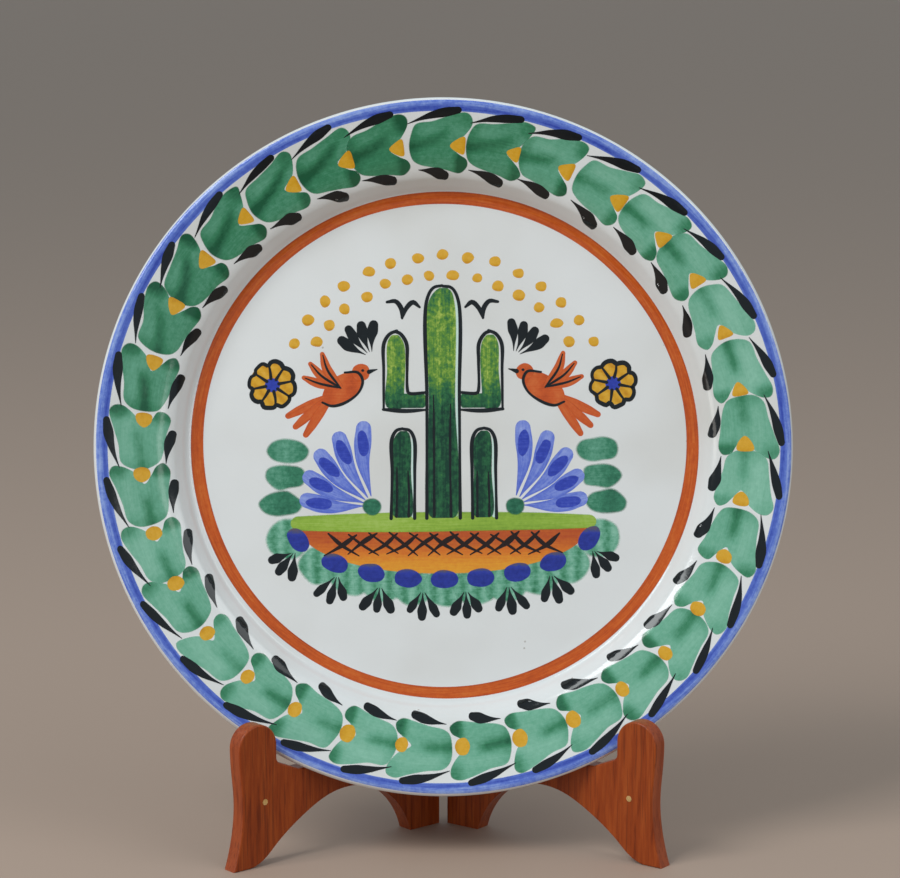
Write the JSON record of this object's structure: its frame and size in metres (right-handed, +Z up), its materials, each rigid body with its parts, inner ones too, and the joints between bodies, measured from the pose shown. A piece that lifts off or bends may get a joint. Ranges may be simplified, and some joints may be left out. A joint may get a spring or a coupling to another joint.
{
  "type": "decorative plate on folding stand",
  "caption": "Round glazed display plate with a painted folk-style garland and cactus garden, leaning on a small hinged wooden easel stand.",
  "frame": {"origin": "under the middle of the whole object's box, on the ground", "axes": "+Z up, the painted face of the plate towards -Y, +X to the right of someone facing the plate"},
  "size_m": [0.3, 0.0934, 0.3204],
  "materials": {
    "glaze": "gloss, hand painted",
    "wood": "semi-gloss lacquer",
    "hinge_brass": "satin",
    "screw_brass": "satin",
    "tack": "polished"
  },
  "bodies": {
    "stand_left": {"left_arm": "wood", "left_tack": "tack", "lower_hinge_left_leaf": "hinge_brass", "lower_hinge_pin": "hinge_brass", "lower_hinge_left_screws": "screw_brass", "upper_hinge_left_leaf": "hinge_brass", "upper_hinge_pin": "hinge_brass", "upper_hinge_left_screws": "screw_brass"},
    "stand_right": {"right_arm": "wood", "right_tack": "tack", "lower_hinge_right_leaf": "hinge_brass", "lower_hinge_right_screws": "screw_brass", "upper_hinge_right_leaf": "hinge_brass", "upper_hinge_right_screws": "screw_brass"},
    "plate": {"plate": "glaze"}
  },
  "joints": [
    {"name": "plate_lift", "type": "slide", "parent": "stand_left", "child": "plate", "axis": [0, 0, 1], "range_m": [0, 0.3]},
    {"name": "stand_fold", "type": "hinge", "parent": "stand_left", "child": "stand_right", "pos_m": [0, 0.02324, 0], "axis": [0, 0, 1], "range_deg": [-104, 0]}
  ],
  "couplings": [
    {"joint": "stand_fold", "follows": "plate_lift", "rad_per_m": -6.05}
  ]
}
